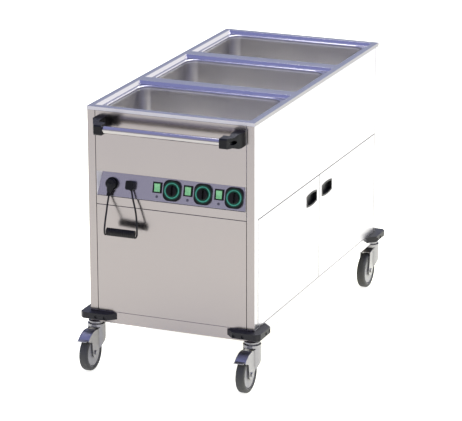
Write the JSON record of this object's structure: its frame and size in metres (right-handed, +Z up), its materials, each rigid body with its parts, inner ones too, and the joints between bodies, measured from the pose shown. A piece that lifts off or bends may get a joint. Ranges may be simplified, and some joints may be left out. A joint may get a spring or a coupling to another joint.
{
  "type": "heated serving trolley",
  "caption": "Heated serving trolley with sunken pan wells, a cupboard with hinged doors, thermostat controls, a parked plug on a curly cord, a push bar and braked casters.",
  "frame": {"origin": "on the floor, under the middle of the box round everything but the cord and plug", "axes": "+Z up, -Y towards the operator's end with the handle and controls, +X towards the side with the doors"},
  "size_m": [0.644, 1.322, 0.9],
  "materials": {
    "stainless_sheet": "fine brushed, satin",
    "stainless_side": "fine brushed, satin, seen bright",
    "fascia_steel": "fine brushed, satin",
    "bar_steel": "polished tube",
    "black_plastic": "satin moulded",
    "bumper_plastic": "satin moulded",
    "ring_green": "translucent, lit",
    "lens_green": "translucent, lit",
    "zinc_steel": "bright zinc plate",
    "drain_steel": "satin",
    "heater_steel": "dull",
    "control_housing": "moulded",
    "hub_plastic": "satin moulded",
    "tyre_rubber": "matt",
    "cord_rubber": "satin"
  },
  "bodies": {
    "trolley": {"base_frame": "stainless_sheet", "corner_posts": "stainless_sheet", "top_deck": "stainless_sheet", "well_front": "stainless_sheet", "well_middle": "stainless_sheet", "well_rear": "stainless_sheet", "well_heaters": "heater_steel", "well_drains": "drain_steel", "front_panel": "stainless_sheet", "control_panel": "fascia_steel", "service_cover": "stainless_sheet", "left_upper_panel": "stainless_side", "left_lower_panel": "stainless_side", "right_upper_panel": "stainless_side", "rear_panels": "stainless_sheet", "cupboard_liner": "stainless_sheet", "cupboard_shelf": "stainless_sheet", "shelf_runners": "stainless_sheet", "push_bar": "bar_steel", "handle_bracket_left": "black_plastic", "handle_bracket_right": "black_plastic", "knob_bezels": "black_plastic", "glow_rings": "ring_green", "switch_frames": "black_plastic", "thermostats": "control_housing", "parking_socket": "black_plastic", "plug": "black_plastic", "cord_gland": "black_plastic", "cord_from_gland": "cord_rubber", "cord_coil": "cord_rubber", "cord_to_plug": "cord_rubber", "corner_bumpers": "bumper_plastic", "fixing_screws": "zinc_steel", "door_catches": "black_plastic", "door_hinge_pins": "zinc_steel", "caster_heads": "zinc_steel"},
    "knob_1_body": {"knob_1": "black_plastic"},
    "knob_2_body": {"knob_2": "black_plastic"},
    "knob_3_body": {"knob_3": "black_plastic"},
    "rocker_1_body": {"rocker_1": "lens_green"},
    "rocker_2_body": {"rocker_2": "lens_green"},
    "rocker_3_body": {"rocker_3": "lens_green"},
    "door_front_body": {"door_front": "stainless_side", "door_pull_front": "black_plastic"},
    "door_rear_body": {"door_rear": "stainless_side", "door_pull_rear": "black_plastic"},
    "caster_front_left": {"fork_front_left": "zinc_steel"},
    "wheel_front_left": {"hub_front_left": "hub_plastic", "tyre_front_left": "tyre_rubber"},
    "brake_left": {"brake_pedals_left": "zinc_steel"},
    "caster_front_right": {"fork_front_right": "zinc_steel"},
    "wheel_front_right": {"hub_front_right": "hub_plastic", "tyre_front_right": "tyre_rubber"},
    "brake_right": {"brake_pedals_right": "zinc_steel"},
    "caster_rear_left": {"fork_rear_left": "zinc_steel"},
    "wheel_rear_left": {"hub_rear_left": "hub_plastic", "tyre_rear_left": "tyre_rubber"},
    "caster_rear_right": {"fork_rear_right": "zinc_steel"},
    "wheel_rear_right": {"hub_rear_right": "hub_plastic", "tyre_rear_right": "tyre_rubber"}
  },
  "joints": [
    {"name": "knob_1_turn", "type": "hinge", "parent": "trolley", "child": "knob_1_body", "pos_m": [0.002, -0.54946, 0.64193], "axis": [0, 0.9658, -0.2591], "range_deg": [0, 270]},
    {"name": "knob_2_turn", "type": "hinge", "parent": "trolley", "child": "knob_2_body", "pos_m": [0.11099, -0.54946, 0.64193], "axis": [0, 0.9658, -0.2591], "range_deg": [0, 270]},
    {"name": "knob_3_turn", "type": "hinge", "parent": "trolley", "child": "knob_3_body", "pos_m": [0.21999, -0.54946, 0.64193], "axis": [0, 0.9658, -0.2591], "range_deg": [0, 270]},
    {"name": "rocker_1_tip", "type": "hinge", "parent": "trolley", "child": "rocker_1_body", "pos_m": [-0.051, -0.54237, 0.6452], "axis": [1, 0, 0], "range_deg": [-16, 0]},
    {"name": "rocker_2_tip", "type": "hinge", "parent": "trolley", "child": "rocker_2_body", "pos_m": [0.05799, -0.54237, 0.6452], "axis": [1, 0, 0], "range_deg": [-16, 0]},
    {"name": "rocker_3_tip", "type": "hinge", "parent": "trolley", "child": "rocker_3_body", "pos_m": [0.16699, -0.54237, 0.6452], "axis": [1, 0, 0], "range_deg": [-16, 0]},
    {"name": "door_front_swing", "type": "hinge", "parent": "trolley", "child": "door_front_body", "pos_m": [0.289, -0.518, 0.385], "axis": [0, 0, -1], "range_deg": [0, 110]},
    {"name": "door_rear_swing", "type": "hinge", "parent": "trolley", "child": "door_rear_body", "pos_m": [0.289, 0.596, 0.385], "axis": [0, 0, 1], "range_deg": [0, 110]},
    {"name": "swivel_front_left", "type": "hinge", "parent": "trolley", "child": "caster_front_left", "pos_m": [-0.28, -0.541, 0.15], "axis": [0, 0, 1], "continuous": true},
    {"name": "roll_front_left", "type": "hinge", "parent": "caster_front_left", "child": "wheel_front_left", "pos_m": [-0.28, -0.593, 0.0625], "axis": [1, 0, 0], "continuous": true},
    {"name": "brake_left_press", "type": "hinge", "parent": "caster_front_left", "child": "brake_left", "pos_m": [-0.28, -0.593, 0.1295], "axis": [1, 0, 0], "range_deg": [0, 8]},
    {"name": "swivel_front_right", "type": "hinge", "parent": "trolley", "child": "caster_front_right", "pos_m": [0.28, -0.541, 0.15], "axis": [0, 0, 1], "continuous": true},
    {"name": "roll_front_right", "type": "hinge", "parent": "caster_front_right", "child": "wheel_front_right", "pos_m": [0.28, -0.593, 0.0625], "axis": [1, 0, 0], "continuous": true},
    {"name": "brake_right_press", "type": "hinge", "parent": "caster_front_right", "child": "brake_right", "pos_m": [0.28, -0.593, 0.1295], "axis": [1, 0, 0], "range_deg": [0, 8]},
    {"name": "swivel_rear_left", "type": "hinge", "parent": "trolley", "child": "caster_rear_left", "pos_m": [-0.28, 0.619, 0.15], "axis": [0, 0, 1], "continuous": true},
    {"name": "roll_rear_left", "type": "hinge", "parent": "caster_rear_left", "child": "wheel_rear_left", "pos_m": [-0.28, 0.567, 0.0625], "axis": [1, 0, 0], "continuous": true},
    {"name": "swivel_rear_right", "type": "hinge", "parent": "trolley", "child": "caster_rear_right", "pos_m": [0.28, 0.619, 0.15], "axis": [0, 0, 1], "continuous": true},
    {"name": "roll_rear_right", "type": "hinge", "parent": "caster_rear_right", "child": "wheel_rear_right", "pos_m": [0.28, 0.567, 0.0625], "axis": [1, 0, 0], "continuous": true}
  ]
}
